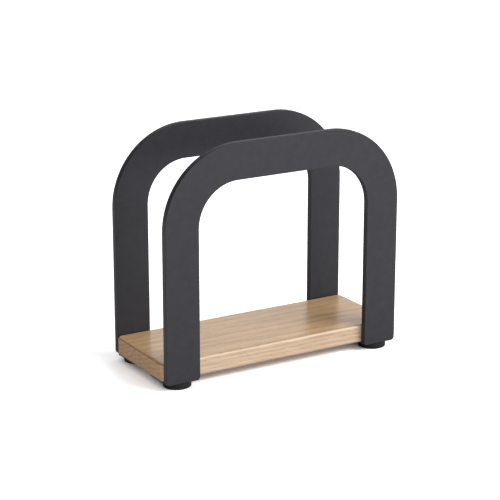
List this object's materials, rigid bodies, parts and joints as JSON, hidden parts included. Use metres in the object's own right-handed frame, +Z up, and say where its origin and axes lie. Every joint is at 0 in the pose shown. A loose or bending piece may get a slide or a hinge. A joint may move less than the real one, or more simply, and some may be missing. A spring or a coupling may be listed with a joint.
{
  "type": "napkin holder",
  "caption": "Upright table napkin holder: flat metal arches with rounded corners stand in front of and behind a wooden base board, on round rubber feet.",
  "frame": {"origin": "centre of the footprint on the table, under the feet", "axes": "+X along the arches' width to the right, +Y from the front arch to the rear arch, +Z up"},
  "size_m": [0.162, 0.067, 0.1429],
  "materials": {
    "powder_coat": "fine matte charcoal powder coat on steel plate",
    "oak": "light oak under clear satin lacquer, grain along the board's length",
    "rubber": "matte black moulded rubber",
    "zinc_steel": "bright zinc plate"
  },
  "bodies": {
    "root": {"front_arch": "powder_coat", "rear_arch": "powder_coat", "base_board": "oak", "tab_front_left": "powder_coat", "tab_front_right": "powder_coat", "tab_rear_left": "powder_coat", "tab_rear_right": "powder_coat", "foot_front_left": "rubber", "foot_front_right": "rubber", "foot_rear_left": "rubber", "foot_rear_right": "rubber", "screw_front_left": "zinc_steel", "screw_front_right": "zinc_steel", "screw_rear_left": "zinc_steel", "screw_rear_right": "zinc_steel"}
  },
  "joints": []
}
